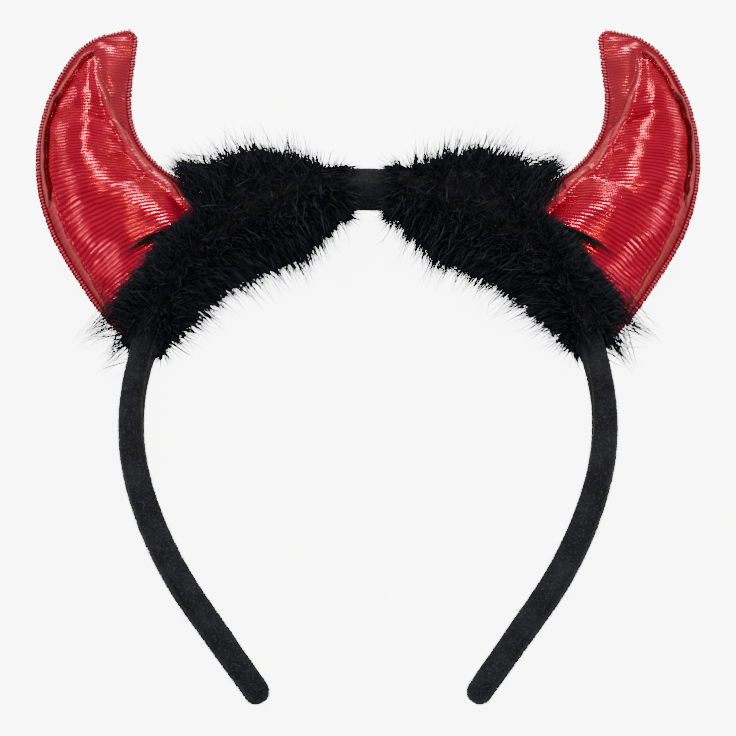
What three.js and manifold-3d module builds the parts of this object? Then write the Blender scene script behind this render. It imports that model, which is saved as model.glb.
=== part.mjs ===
// A devil horns headband that lies on its back: a padded velvet band, two stuffed horns of ribbed metallic
// cloth with an overlocked edge, and a marabou feather trim wound round the foot of each horn.
// Millimetres. The band is drawn with its middle line in the XY plane, the horns towards +Y, the tips of the
// band towards -Y and its front facing +Z. The whole is then tipped a little, as it rests on a surface.
import * as THREE from "three";
import { mergeVertices } from "three/addons/utils/BufferGeometryUtils.js";
import Module from "manifold-3d";

// Band
const insideWidth = 114.8; // widest gap between the arms, for an adult head
const bandThickness = 5.5; // stiff core, padding and velvet together where the arms are widest apart
const topWidth = 16.5; // from front to back over the head
const tipStraight = 29.6; // straight run above each tip
const cornerRadius = 1.9; // roll of the velvet over the long edges
const mostRounded = 0.9; // of half the thickness, the most that the roll of the edges takes up
const bandStep = 6; // between the cross cuts of the band
// Arcs of the middle line from the top down: radius as a share of half the band's width, turn in degrees
const bandArcs = [
  { radius: 0.978, turn: 57.9 },
  { radius: 1.122, turn: 31 },
  { radius: 1.091, turn: 16.9 },
  { radius: 1.736, turn: 19.3 },
];
// Section of the band: place as a share of its half length, then shares of topWidth and bandThickness
const bandSections = [
  { along: 0, width: 1, thickness: 1.16 },
  { along: 0.2, width: 0.96, thickness: 1.12 },
  { along: 0.45, width: 0.76, thickness: 1 },
  { along: 0.6, width: 0.64, thickness: 1.14 },
  { along: 0.8, width: 0.52, thickness: 1.19 },
  { along: 1, width: 0.44, thickness: 1.07 },
];

// Horns
const hornSeat = 51.5; // along the band from its top centre to the middle of a horn's foot
const hornReach = 40.7; // how far a horn swings out sideways from its seat
const hornHeight = 66.2; // from the seat up to the tip
const hornPuff = 6.9; // rise of the stuffed face above the flat margin
const marginThickness = 1.3; // the two plies of cloth where nothing is stuffed
const foldRise = 1.1; // ridge inside the outer edge
const gatherRise = 0.9; // ridge inside the inner edge
// The two edges of a horn from its foot to its tip, as shares of hornReach out and hornHeight up from its
// seat
const hornCuts = [
  { along: 0, outerOut: 0.322, outerUp: -0.318, innerOut: -0.3, innerUp: 0.097 },
  { along: 0.1, outerOut: 0.506, outerUp: -0.234, innerOut: -0.115, innerUp: 0.193 },
  { along: 0.27, outerOut: 0.717, outerUp: -0.053, innerOut: 0.086, innerUp: 0.328 },
  { along: 0.4, outerOut: 0.882, outerUp: 0.126, innerOut: 0.246, innerUp: 0.406 },
  { along: 0.52, outerOut: 0.978, outerUp: 0.31, innerOut: 0.359, innerUp: 0.488 },
  { along: 0.62, outerOut: 1, outerUp: 0.488, innerOut: 0.43, innerUp: 0.584 },
  { along: 0.72, outerOut: 0.966, outerUp: 0.65, innerOut: 0.457, innerUp: 0.699 },
  { along: 0.8, outerOut: 0.897, outerUp: 0.774, innerOut: 0.447, innerUp: 0.809 },
  { along: 0.88, outerOut: 0.789, outerUp: 0.894, innerOut: 0.437, innerUp: 0.885 },
  { along: 0.94, outerOut: 0.656, outerUp: 0.965, innerOut: 0.43, innerUp: 0.936 },
  { along: 0.98, outerOut: 0.514, outerUp: 0.992, innerOut: 0.425, innerUp: 0.971 },
  { along: 1, outerOut: 0.457, outerUp: 1, innerOut: 0.43, innerUp: 0.988 },
];
// Rise of the cloth along a horn, as shares of hornPuff, foldRise and gatherRise
const hornRises = [
  { along: 0, puff: 0.86, fold: 0.3, gather: 0.4 },
  { along: 0.1, puff: 0.93, fold: 0.6, gather: 0.8 },
  { along: 0.27, puff: 1, fold: 0.9, gather: 1 },
  { along: 0.4, puff: 0.98, fold: 0.5, gather: 1 },
  { along: 0.52, puff: 0.92, fold: 1, gather: 1 },
  { along: 0.62, puff: 0.82, fold: 1, gather: 0.9 },
  { along: 0.72, puff: 0.64, fold: 0.9, gather: 0.6 },
  { along: 0.8, puff: 0.4, fold: 0.8, gather: 0.2 },
  { along: 0.88, puff: 0.16, fold: 0.4, gather: 0 },
  { along: 0.94, puff: 0.03, fold: 0, gather: 0 },
  { along: 1, puff: 0, fold: 0, gather: 0 },
];
// Rise of the cloth across a horn, from the outer edge to the inner one, as shares of the rises along it
const hornProfile = [
  { across: 0, puff: 0, fold: 0, gather: 0 },
  { across: 0.03, puff: 0.02, fold: 0.35, gather: 0 },
  { across: 0.06, puff: 0.1, fold: 1, gather: 0 },
  { across: 0.1, puff: 0.2, fold: 0.25, gather: 0 },
  { across: 0.15, puff: 0.36, fold: 0, gather: 0 },
  { across: 0.23, puff: 0.6, fold: 0, gather: 0 },
  { across: 0.34, puff: 0.84, fold: 0, gather: 0 },
  { across: 0.47, puff: 0.99, fold: 0, gather: 0 },
  { across: 0.6, puff: 0.98, fold: 0, gather: 0 },
  { across: 0.72, puff: 0.82, fold: 0, gather: 0 },
  { across: 0.81, puff: 0.62, fold: 0, gather: 0.15 },
  { across: 0.87, puff: 0.45, fold: 0, gather: 0.8 },
  { across: 0.92, puff: 0.26, fold: 0, gather: 1 },
  { across: 0.965, puff: 0.06, fold: 0, gather: 0.3 },
  { across: 1, puff: 0, fold: 0, gather: 0 },
];

// Overlocked edge
const overlockWidth = 1.4; // how far the thread binding stands out from the cloth's edge
const overlockThickness = 1.5;

// Marabou trim
const marabouStart = 8; // along the band from its top centre to where the feathers begin
const marabouLength = 70.5; // of band that the feathers cover
const marabouPile = 13; // tallest pile of down over the band's faces
const marabouPressed = 1.8; // what is left of the pile between the band and the surface that it lies on
const marabouWall = 1.1; // least wall of the quill cord and down round the band
// Pile on each side of the band along the trim, as shares of marabouPile: away from the head, towards the
// head, and to the front and back
const marabouPiles = [
  { along: 0, outer: 0.02, inner: 0.02, face: 0 },
  { along: 0.05, outer: 0.24, inner: 0.24, face: 0.1 },
  { along: 0.19, outer: 0.66, inner: 0.4, face: 0.2 },
  { along: 0.32, outer: 0.88, inner: 0.5, face: 0.24 },
  { along: 0.48, outer: 0.9, inner: 0.53, face: 0.26 },
  { along: 0.62, outer: 0.82, inner: 0.5, face: 0.28 },
  { along: 0.74, outer: 0.7, inner: 0.36, face: 0.28 },
  { along: 0.87, outer: 0.68, inner: 0.2, face: 0.26 },
  { along: 0.96, outer: 0.46, inner: 0.14, face: 0.2 },
  { along: 1, outer: 0.06, inner: 0.02, face: 0 },
];
const rollSides = 14; // facets round the roll of down
const rollShoulder = 0.8; // 1 makes the roll's section round and less makes it squarer
const downDepth = 1.6; // how far the tufts stand out over the roll of down between them
const lockLength = 11; // a tuft of barbs from root to point
const lockRadius = 4.8; // at the root
const lockSunk = 0.66; // share of a tuft that is under the top of the pile
const lockSpread = 1.6; // how much more the tufts lean towards the ends of the trim than out of it
const lockCurl = 0.3; // how far the points bend aside, as a share of their length
const lockUneven = 0.2; // how much the tufts differ in place and length
const locksRound = 9; // tufts round the roll
const locksAlong = 7; // tufts along the roll

const clearance = 0.3; // between pieces that touch

// Colours, roughness and metalness of the real surfaces
const velvet = { color: 0x17181b, roughness: 0.95, metalness: 0 };
const metallicCloth = { color: 0xb5182b, roughness: 0.36, metalness: 0.6 };
const thread = { color: 0xc23a52, roughness: 0.6, metalness: 0.1 };
const feather = { color: 0x101216, roughness: 0.9, metalness: 0 };

const wasm = await Module();
wasm.setup();

// A closed geometry as a solid that can be joined and cut
function solidOf(geometry) {
  const bare = geometry.clone();
  bare.deleteAttribute("normal");
  bare.deleteAttribute("uv");
  const merged = mergeVertices(bare, 1e-4);
  const vertProperties = Float32Array.from(merged.attributes.position.array);
  const triVerts = Uint32Array.from(merged.index.array);
  return new wasm.Manifold(new wasm.Mesh({ numProp: 3, vertProperties, triVerts }));
}

// The geometry of a solid after its joins and cuts
function geometryOf(solid) {
  const mesh = solid.getMesh();
  const geometry = new THREE.BufferGeometry();
  const position = new THREE.BufferAttribute(Float32Array.from(mesh.vertProperties), 3);
  geometry.setAttribute("position", position);
  geometry.setIndex(Array.from(mesh.triVerts));
  geometry.computeVertexNormals();
  return geometry;
}

// Turns every face of a closed geometry round if its volume comes out negative
function facingOut(geometry) {
  const position = geometry.attributes.position;
  const index = geometry.index.array;
  const [a, b, c] = [new THREE.Vector3(), new THREE.Vector3(), new THREE.Vector3()];
  let volume = 0;
  for (let i = 0; i < index.length; i += 3) {
    a.fromBufferAttribute(position, index[i]);
    b.fromBufferAttribute(position, index[i + 1]);
    c.fromBufferAttribute(position, index[i + 2]);
    volume += a.dot(b.cross(c));
  }
  if (volume < 0) {
    geometry.setIndex(Array.from(index).reverse());
  }
  return geometry;
}

// A closed skin through rings of as many points each, with a fan over each end
function loft(rings) {
  const size = rings[0].length;
  const points = rings.flat();
  const index = [];
  for (let i = 0; i + 1 < rings.length; i += 1) {
    for (let j = 0; j < size; j += 1) {
      const next = (j + 1) % size;
      const a = i * size + j;
      const b = i * size + next;
      index.push(a, b, b + size, a, b + size, a + size);
    }
  }
  for (const [ring, start] of [[rings[0], 0], [rings[rings.length - 1], (rings.length - 1) * size]]) {
    const middle = ring.reduce((sum, p) => sum.add(p), new THREE.Vector3()).divideScalar(size);
    points.push(middle);
    for (let j = 0; j < size; j += 1) {
      const next = (j + 1) % size;
      const rim = start === 0 ? [start + next, start + j] : [start + j, start + next];
      index.push(...rim, points.length - 1);
    }
  }
  const geometry = new THREE.BufferGeometry().setFromPoints(points);
  geometry.setIndex(index);
  return facingOut(geometry);
}

// One column of a table at any place between its rows, on a smooth curve through them
function readTable(rows, place, at, column) {
  const last = rows.length - 1;
  let i = 0;
  while (i < last - 1 && at > rows[i + 1][place]) {
    i += 1;
  }
  const slope = (k) => {
    const [before, after] = [rows[Math.max(k - 1, 0)], rows[Math.min(k + 1, last)]];
    return (after[column] - before[column]) / (after[place] - before[place]);
  };
  const span = rows[i + 1][place] - rows[i][place];
  const u = THREE.MathUtils.clamp((at - rows[i][place]) / span, 0, 1);
  const fromStart = (1 + 2 * u) * (1 - u) ** 2 * rows[i][column] + u * (1 - u) ** 2 * slope(i) * span;
  const fromEnd = u ** 2 * (3 - 2 * u) * rows[i + 1][column] - u ** 2 * (1 - u) * slope(i + 1) * span;
  return fromStart + fromEnd;
}

// The places of a table's rows, with the gap between each two cut into as many steps
function stepsOf(rows, place, steps) {
  const places = [];
  for (let i = 0; i + 1 < rows.length; i += 1) {
    for (let k = 0; k < steps; k += 1) {
      places.push(THREE.MathUtils.lerp(rows[i][place], rows[i + 1][place], k / steps));
    }
  }
  places.push(rows[rows.length - 1][place]);
  return places;
}

// The arcs reach furthest out where the middle line has turned by a right angle
function widestReach() {
  let heading = 0;
  let out = 0;
  for (const arc of bandArcs) {
    const turned = Math.min(heading + THREE.MathUtils.degToRad(arc.turn), Math.PI / 2);
    out += arc.radius * (Math.sin(turned) - Math.sin(heading));
    heading = turned;
  }
  return out;
}

// The middle line on the left starts at the top centre, at the origin, and its arcs are scaled to insideWidth
const arcScale = (insideWidth / 2 + bandThickness / 2) / widestReach();
const arcLengths = bandArcs.map((arc) => arc.radius * arcScale * THREE.MathUtils.degToRad(arc.turn));
const halfLength = arcLengths.reduce((sum, length) => sum + length, 0) + tipStraight;

// Place on the middle line at a distance from the top centre, and the way out from the head there
function bandPlace(distance) {
  let heading = 0;
  let left = Math.max(distance, 0);
  const point = new THREE.Vector2(0, 0);
  for (let i = 0; i < bandArcs.length && left > 0; i += 1) {
    const radius = bandArcs[i].radius * arcScale;
    const turned = heading + Math.min(left, arcLengths[i]) / radius;
    point.x -= radius * (Math.sin(turned) - Math.sin(heading));
    point.y -= radius * (Math.cos(heading) - Math.cos(turned));
    heading = turned;
    left -= arcLengths[i];
  }
  const way = new THREE.Vector2(-Math.cos(heading), -Math.sin(heading));
  point.addScaledVector(way, Math.max(left, 0));
  return { point, out: new THREE.Vector2(-Math.sin(heading), Math.cos(heading)) };
}

// Half the thickness and half the width of the band at a distance from the top centre
function bandHalves(distance) {
  const share = distance / halfLength;
  return {
    thick: (bandThickness / 2) * readTable(bandSections, "along", share, "thickness"),
    wide: (topWidth / 2) * readTable(bandSections, "along", share, "width"),
  };
}

// A point beside the middle line, so far out from the head and so far to the front
function besideBand(distance, outward, front) {
  const place = bandPlace(distance);
  const spot = place.point.clone().addScaledVector(place.out, outward);
  return new THREE.Vector3(spot.x, spot.y, front);
}

// Rounded rectangle section of the band, drawn in to a share of its size for the round of a tip
function bandRing(distance, share) {
  const halves = bandHalves(distance);
  const thick = halves.thick * share;
  const wide = halves.wide * share;
  const radius = Math.min(cornerRadius * share, mostRounded * thick);
  const ring = [];
  for (const [outSign, frontSign, start] of [[1, 1, 0], [-1, 1, 90], [-1, -1, 180], [1, -1, 270]]) {
    for (const step of [0, 45, 90]) {
      const angle = THREE.MathUtils.degToRad(start + step);
      const outward = outSign * (thick - radius) + radius * Math.cos(angle);
      const front = frontSign * (wide - radius) + radius * Math.sin(angle);
      ring.push(besideBand(distance, outward, front));
    }
  }
  return ring;
}

// Distances of cross cuts from the top centre, half a step off it so that one flat facet lies across it
function bandDistances(end) {
  const count = Math.round(end / bandStep - 0.5);
  return Array.from({ length: count + 1 }, (_, i) => ((i + 0.5) * end) / (count + 0.5));
}

function mirrorPoint(p) {
  return new THREE.Vector3(-p.x, p.y, p.z);
}

function headbandGeometry() {
  const roundLength = bandHalves(halfLength).thick;
  const half = bandDistances(halfLength - roundLength).map((distance) => bandRing(distance, 1));
  for (const angle of [30, 55, 75]) {
    const turn = THREE.MathUtils.degToRad(angle);
    half.push(bandRing(halfLength - roundLength * (1 - Math.sin(turn)), Math.cos(turn)));
  }
  const otherHalf = half.map((ring) => ring.map(mirrorPoint)).reverse();
  return loft([...otherHalf, ...half]);
}

// Everything on the head's side of the band's outer face and a clearance, to cut a horn's foot along it
function headSide() {
  const gap = (distance) => bandHalves(distance).thick + clearance;
  const left = bandDistances(halfLength).map((distance) => besideBand(distance, gap(distance), 0));
  const right = left.map(mirrorPoint).reverse();
  const shape = new THREE.Shape([...right, ...left].map((p) => new THREE.Vector2(p.x, p.y)));
  const depth = 2 * (topWidth + hornPuff);
  const geometry = new THREE.ExtrudeGeometry(shape, { depth, bevelEnabled: false, steps: 1 });
  return geometry.translate(0, 0, -depth / 2);
}

// The two edges of a horn's cloth at a place along it
function hornEdges(along) {
  const seat = bandPlace(hornSeat).point;
  const read = (column) => readTable(hornCuts, "along", along, column);
  const spot = (out, up) => new THREE.Vector2(seat.x - out * hornReach, seat.y + up * hornHeight);
  return {
    outer: spot(read("outerOut"), read("outerUp")),
    inner: spot(read("innerOut"), read("innerUp")),
  };
}

const hornPlaces = stepsOf(hornCuts, "along", 2);

// The cloth's edge from the foot's outer end over the tip to its inner end, with the way out at each point
function hornOutline() {
  const edges = hornPlaces.map(hornEdges);
  const points = [...edges.map((e) => e.outer), ...edges.map((e) => e.inner).reverse()];
  return points.map((point, i) => {
    const before = points[Math.max(i - 1, 0)];
    const after = points[Math.min(i + 1, points.length - 1)];
    const way = after.clone().sub(before).normalize();
    return { point, out: new THREE.Vector2(-way.y, way.x) };
  });
}

// A horn from its foot to its tip, grown at its edges and faces to cut room for it
function hornGeometry(grow) {
  const outline = hornOutline();
  const edgeAt = ({ point, out }) => point.clone().addScaledVector(out, grow.edge);
  const rings = hornPlaces.map((along, i) => {
    const outer = edgeAt(outline[i]);
    const inner = edgeAt(outline[outline.length - 1 - i]);
    const read = (column) => readTable(hornRises, "along", along, column);
    const puff = hornPuff * read("puff");
    const fold = foldRise * read("fold");
    const gather = gatherRise * read("gather");
    const front = hornProfile.map((row) => {
      const rise = puff * row.puff + fold * row.fold + gather * row.gather;
      const spot = outer.clone().lerp(inner, row.across);
      return new THREE.Vector3(spot.x, spot.y, grow.margin / 2 + rise + grow.face);
    });
    const back = front.map((p) => new THREE.Vector3(p.x, p.y, -p.z)).reverse();
    return [...front, ...back];
  });
  return loft(rings);
}

// The thread binding round a horn's edge, a flattened cord of six sides
function overlockGeometry() {
  const middle = clearance + overlockWidth / 2;
  const corners = [0, 60, 120, 180, 240, 300].map(THREE.MathUtils.degToRad);
  const height = overlockThickness / 2 / Math.sin(corners[1]);
  const rings = hornOutline().map(({ point, out }) => corners.map((angle) => {
    const spot = point.clone().addScaledVector(out, middle + (overlockWidth / 2) * Math.cos(angle));
    return new THREE.Vector3(spot.x, spot.y, height * Math.sin(angle));
  }));
  return loft(rings);
}

// A signed power of a sine or cosine, which squares a round section's shoulders
function shoulder(value) {
  return Math.sign(value) * Math.abs(value) ** rollShoulder;
}

// A point so far under the top of the pile, at a place along the trim and an angle round it. Angle 0 is away
// from the head and a quarter turn is the front.
function pilePoint(along, angle, sunk) {
  const distance = marabouStart + marabouLength * along;
  const halves = bandHalves(distance);
  const pile = (column) => marabouPile * readTable(marabouPiles, "along", along, column);
  const least = clearance + marabouWall;
  const rise = (column) => Math.max(pile(column) - sunk, 0);
  const outward = halves.thick + least + rise(Math.cos(angle) > 0 ? "outer" : "inner");
  const front = halves.wide + least + rise("face");
  return besideBand(distance, outward * shoulder(Math.cos(angle)), front * shoulder(Math.sin(angle)));
}

function rollGeometry() {
  const angles = Array.from({ length: rollSides }, (_, k) => (2 * Math.PI * k) / rollSides);
  const ringAt = (along) => angles.map((angle) => pilePoint(along, angle, downDepth));
  return loft(marabouPiles.map((row) => ringAt(row.along)));
}

// A tuft of barbs: a cone with a belly whose point bends over to one side
function lockGeometry(length, curl) {
  const geometry = new THREE.ConeGeometry(lockRadius, length, 4, 2);
  geometry.translate(0, length / 2, 0);
  const position = geometry.attributes.position;
  for (let i = 0; i < position.count; i += 1) {
    const height = position.getY(i) / length;
    const belly = 1 + 2 * height * (1 - height);
    position.setX(i, position.getX(i) * belly + curl * length * height ** 2);
    position.setZ(i, position.getZ(i) * belly);
  }
  return geometry;
}

// A number from -1 to 1 that looks random and is the same each time
function uneven(i, k) {
  return Math.sin(12.9 * i + 7.7 * k);
}

// Turns a tuft's own up into the way it leans from the middle of the band and sinks its root in the roll
function lockFrame(along, angle) {
  const crown = pilePoint(along, angle, 0);
  const ahead = pilePoint(along + 0.01, angle, 0).sub(pilePoint(along - 0.01, angle, 0)).normalize();
  const up = crown.clone().sub(besideBand(marabouStart + marabouLength * along, 0, 0)).normalize();
  up.addScaledVector(ahead, lockSpread * (along - 0.5)).normalize();
  const side = ahead.clone().addScaledVector(up, -ahead.dot(up)).normalize();
  const frame = new THREE.Matrix4().makeBasis(side, up, side.clone().cross(up));
  return frame.setPosition(crown.addScaledVector(up, -lockSunk * lockLength));
}

// Tufts in staggered rows over the roll. None stands where the horn's foot comes out of the roll.
function locks() {
  const foot = hornEdges(0);
  const footReach = foot.outer.distanceTo(foot.inner) / 2 + lockRadius;
  const made = [];
  for (let i = 0; i < locksAlong; i += 1) {
    for (let k = 0; k < locksRound; k += 1) {
      const along = (i + 0.5 + lockUneven * uneven(i, k)) / locksAlong;
      const angle = (2 * Math.PI * (k + (i % 2) / 2)) / locksRound;
      const nearFoot = Math.abs(marabouStart + marabouLength * along - hornSeat) < footReach;
      if (nearFoot && Math.cos(angle) > Math.SQRT1_2) {
        continue;
      }
      const length = lockLength * (1 + lockUneven * uneven(k, i));
      const lock = lockGeometry(length, lockCurl * uneven(i, k));
      made.push(lock.applyMatrix4(lockFrame(along, angle)));
    }
  }
  return made;
}

// Room for the band and a clearance through the trim
function bandSlot() {
  const end = marabouStart + marabouLength + lockLength;
  const corners = [[1, 1], [-1, 1], [-1, -1], [1, -1]];
  const rings = [0, ...bandDistances(end)].map((distance) => {
    const halves = bandHalves(distance);
    const [thick, wide] = [halves.thick + clearance, halves.wide + clearance];
    return corners.map(([a, b]) => besideBand(distance, a * thick, b * wide));
  });
  return loft(rings);
}

// The pressed feathers lift the horns' end, so the band leans on its tips' back edges
const lift = topWidth / 2 + marabouPressed - bandHalves(halfLength).wide;
const restTilt = Math.atan(lift / (bandPlace(hornSeat).point.y - bandPlace(halfLength).point.y));

// The surface that the tipped band lies on, as a block under it that is cut off the feathers
function surfaceBlock(band) {
  const tipped = band.clone().rotateX(restTilt);
  tipped.computeBoundingBox();
  const block = new THREE.BoxGeometry(4 * insideWidth, 4 * insideWidth, insideWidth);
  block.translate(0, 0, tipped.boundingBox.min.z - insideWidth / 2);
  return block.rotateX(-restTilt);
}

function marabouGeometry(band) {
  const room = {
    edge: overlockWidth + 2 * clearance,
    face: clearance,
    margin: Math.max(marginThickness, overlockThickness),
  };
  let down = solidOf(rollGeometry());
  for (const lock of locks()) {
    down = down.add(solidOf(lock));
  }
  for (const cut of [bandSlot(), hornGeometry(room), surfaceBlock(band)]) {
    down = down.subtract(solidOf(cut));
  }
  return geometryOf(down);
}

function mirrored(geometry) {
  const copy = geometry.clone().scale(-1, 1, 1);
  copy.setIndex(Array.from(copy.index.array).reverse());
  copy.computeVertexNormals();
  return copy;
}

function piece(name, geometry, finish) {
  const mesh = new THREE.Mesh(geometry, new THREE.MeshStandardMaterial(finish));
  mesh.name = name;
  return mesh;
}

const band = headbandGeometry();
const cutter = solidOf(headSide());
const cloth = { edge: 0, face: 0, margin: marginThickness };
const horn = geometryOf(solidOf(hornGeometry(cloth)).subtract(cutter));
const overlock = geometryOf(solidOf(overlockGeometry()).subtract(cutter));
const marabou = marabouGeometry(band);

const lying = new THREE.Group();
lying.add(piece("headband", band, velvet));
for (const [side, shaped] of [["left", (g) => g], ["right", mirrored]]) {
  lying.add(piece(`horn_${side}`, shaped(horn), metallicCloth));
  lying.add(piece(`overlock_${side}`, shaped(overlock), thread));
  lying.add(piece(`marabou_${side}`, shaped(marabou), feather));
}
lying.rotation.x = restTilt;

// The origin is the middle of the underside
const model = new THREE.Group();
model.add(lying);
const box = new THREE.Box3().setFromObject(model, true);
lying.position.set(0, -(box.min.y + box.max.y) / 2, -box.min.z);
model.updateMatrixWorld(true);

export default model;
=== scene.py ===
import math

import bpy
import numpy as np
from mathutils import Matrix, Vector


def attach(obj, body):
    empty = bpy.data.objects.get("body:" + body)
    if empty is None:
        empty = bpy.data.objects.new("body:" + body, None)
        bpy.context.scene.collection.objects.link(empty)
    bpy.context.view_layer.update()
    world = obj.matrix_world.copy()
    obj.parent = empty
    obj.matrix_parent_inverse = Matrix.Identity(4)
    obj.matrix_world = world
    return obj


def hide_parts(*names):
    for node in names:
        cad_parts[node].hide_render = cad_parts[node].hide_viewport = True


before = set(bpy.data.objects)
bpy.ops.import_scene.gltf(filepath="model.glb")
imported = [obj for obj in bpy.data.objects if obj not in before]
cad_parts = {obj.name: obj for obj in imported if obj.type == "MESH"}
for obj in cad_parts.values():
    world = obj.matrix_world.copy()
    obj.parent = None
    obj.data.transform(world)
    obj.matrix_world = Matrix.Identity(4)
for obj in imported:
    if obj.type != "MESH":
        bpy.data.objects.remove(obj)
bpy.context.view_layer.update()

# Devil horns headband on a pale floor, lying on its back.
# Pieces are drawn in millimetres in the band's own plane: x to the right, y towards the horns,
# z to the front. toRow tips them as the real one lies and turns them into metres.
place = dict(tilt=math.radians(3.169), topCentre=(0.0, 45.417, 11.157))


def toRow(points):
    x, y, z = points[..., 0], points[..., 1], points[..., 2]
    c, s = math.cos(place["tilt"]), math.sin(place["tilt"])
    tipped = np.stack([x, y * c - z * s, y * s + z * c], -1)
    return (tipped + np.array(place["topCentre"])) / 1000


def toSide(points, side):
    # pieces are drawn on the left, side -1, and mirrored for the right, side 1
    return points * np.array([-side, 1.0, 1.0])


def sideName(side):
    return "left" if side < 0 else "right"


def aboveFloor(points, room):
    # what would sink into the floor is pressed flat on it
    points[..., 2] = np.maximum(points[..., 2], room)
    return points


def unit(vectors):
    return vectors / np.maximum(np.linalg.norm(vectors, axis=-1, keepdims=True), 1e-9)


def smoothStep(low, high, value):
    t = np.clip((value - low) / (high - low), 0, 1)
    return t * t * (3 - 2 * t)


def lumps(points, size, seed, waves=20):
    # smooth unevenness of about one unit either way, with humps about as far apart as size
    random = np.random.default_rng(seed)
    ways = unit(random.normal(size=(waves, 3))) * (2 * np.pi / size) * random.uniform(0.5, 1.5, (waves, 1))
    return np.sin(points @ ways.T + random.uniform(0, 6.28, waves)).sum(-1) / math.sqrt(waves)


def readTable(rows, key, at, column):
    # a smooth curve through the rows of a table
    xs = np.array([row[key] for row in rows])
    ys = np.array([row[column] for row in rows])
    n = np.arange(len(xs))
    before, after = np.maximum(n - 1, 0), np.minimum(n + 1, len(xs) - 1)
    slopes = (ys[after] - ys[before]) / (xs[after] - xs[before])
    i = np.clip(np.searchsorted(xs, at) - 1, 0, len(xs) - 2)
    span = xs[i + 1] - xs[i]
    u = np.clip((at - xs[i]) / span, 0, 1)
    fromStart = (1 + 2 * u) * (1 - u) ** 2 * ys[i] + u * (1 - u) ** 2 * slopes[i] * span
    fromEnd = u ** 2 * (3 - 2 * u) * ys[i + 1] - u ** 2 * (1 - u) * slopes[i + 1] * span
    return fromStart + fromEnd


def makeMesh(name, points, faces, material, attributes=None):
    # points in the row frame in metres, faces a list of index arrays with 3 or 4 columns
    mesh = bpy.data.meshes.new(name)
    corners = np.concatenate([f.ravel() for f in faces]).astype(np.int32)
    sizes = np.concatenate([np.full(len(f), f.shape[1]) for f in faces])
    starts = np.append(0, np.cumsum(sizes)[:-1]).astype(np.int32)
    mesh.vertices.add(len(points))
    mesh.vertices.foreach_set("co", np.ascontiguousarray(points, np.float32).ravel())
    mesh.loops.add(len(corners))
    mesh.loops.foreach_set("vertex_index", corners)
    mesh.polygons.add(len(sizes))
    mesh.polygons.foreach_set("loop_start", starts)
    mesh.update(calc_edges=True)
    mesh.shade_smooth()
    for key, values in (attributes or {}).items():
        marks = mesh.attributes.new(key, "FLOAT", "POINT").data
        marks.foreach_set("value", values.astype(np.float32).ravel())
    mesh.materials.append(material)
    piece = bpy.data.objects.new(name, mesh)
    bpy.context.scene.collection.objects.link(piece)
    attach(piece, "root")
    return piece


def gridFaces(rings, size, flip=False):
    # four-sided faces between rings of as many points each
    i, j = np.meshgrid(np.arange(rings - 1), np.arange(size), indexing="ij")
    a, b = i * size + j, i * size + (j + 1) % size
    quads = np.stack([a, b, b + size, a + size], -1).reshape(-1, 4)
    return quads[:, ::-1] if flip else quads


def closedSkin(points, rings, size, flip=False):
    # rings of points with a fan of triangles over each end, to a point in the middle of the end ring
    middles = points.reshape(rings, size, 3)[[0, -1]].mean(1)
    faces = [gridFaces(rings, size, flip)]
    for first, middle, turned in ((0, rings * size, not flip), ((rings - 1) * size, rings * size + 1, flip)):
        ring = first + np.arange(size)
        fan = np.stack([ring, np.roll(ring, -1), np.full(size, middle)], -1)
        faces.append(fan[:, ::-1] if turned else fan)
    return np.vstack([points, middles]), faces


# materials


def linear(hexColour):
    srgb = np.array([int(hexColour[i:i + 2], 16) for i in (1, 3, 5)]) / 255
    rgb = np.where(srgb <= 0.04045, srgb / 12.92, ((srgb + 0.055) / 1.055) ** 2.4)
    return (*rgb.tolist(), 1.0)


def addNode(tree, kind, settings=None, links=None, stops=()):
    # a setting is an input's name or number, or else the node's own; a link is a node and its output
    node = tree.nodes.new(kind)
    for key, value in (settings or {}).items():
        if isinstance(key, int) or key in node.inputs:
            node.inputs[key].default_value = value
        else:
            setattr(node, key, value)
    for key, (source, output) in (links or {}).items():
        tree.links.new(source.outputs[output], node.inputs[key])
    for element, (position, colour) in zip(node.color_ramp.elements if stops else (), stops):
        element.position, element.color = position, linear(colour)
    return node


def newTree(name):
    material = bpy.data.materials.new(name)
    material.use_nodes = True
    material.node_tree.nodes.clear()
    return material, material.node_tree


def velvetMaterial():
    # cut pile glued over the core: near black face on, a grey glow where the pile is seen from its side, and
    # lighter specks painted on the tufts as painted glints off the pile
    # real tufts are about 0.15 mm apart; they are drawn two pixels apart, so that they show
    pile = dict(tuftMm=0.5, patchMm=7.0, reliefMm=0.12)
    material, tree = newTree("black_cut_pile_velvet")
    spot = addNode(tree, "ShaderNodeTexCoord")
    tufts = addNode(tree, "ShaderNodeTexNoise", {"Scale": 1000 / pile["tuftMm"], "Detail": 2.0},
                    {"Vector": (spot, "Object")})
    patches = addNode(tree, "ShaderNodeTexNoise", {"Scale": 1000 / pile["patchMm"], "Detail": 2.0},
                      {"Vector": (spot, "Object")})
    shade = addNode(tree, "ShaderNodeValToRGB", {}, {0: (patches, 0)}, [(0.4, "#191b1f"), (0.7, "#25282e")])
    # the lighter grey mixed in on the tufts is a painted glint off the pile
    tuftGlints = addNode(tree, "ShaderNodeValToRGB", {}, {0: (tufts, 0)}, [(0.5, "#000000"), (0.85, "#ffffff")])
    colour = addNode(tree, "ShaderNodeMixRGB", {"Color2": linear("#3c4046")},
                     {"Fac": (tuftGlints, 0), "Color1": (shade, 0)})
    bump = addNode(tree, "ShaderNodeBump", {"Distance": pile["reliefMm"] / 1000}, {"Height": (tufts, 0)})
    shader = addNode(tree, "ShaderNodeBsdfPrincipled", {
        "Roughness": 0.9, "Specular IOR Level": 0.05,
        "Sheen Weight": 0.24, "Sheen Roughness": 0.35, "Sheen Tint": linear("#c3cec6"),
    }, {"Base Color": (colour, 0), "Normal": (bump, 0)})
    addNode(tree, "ShaderNodeOutputMaterial", {}, {"Surface": (shader, 0)})
    return material


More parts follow.
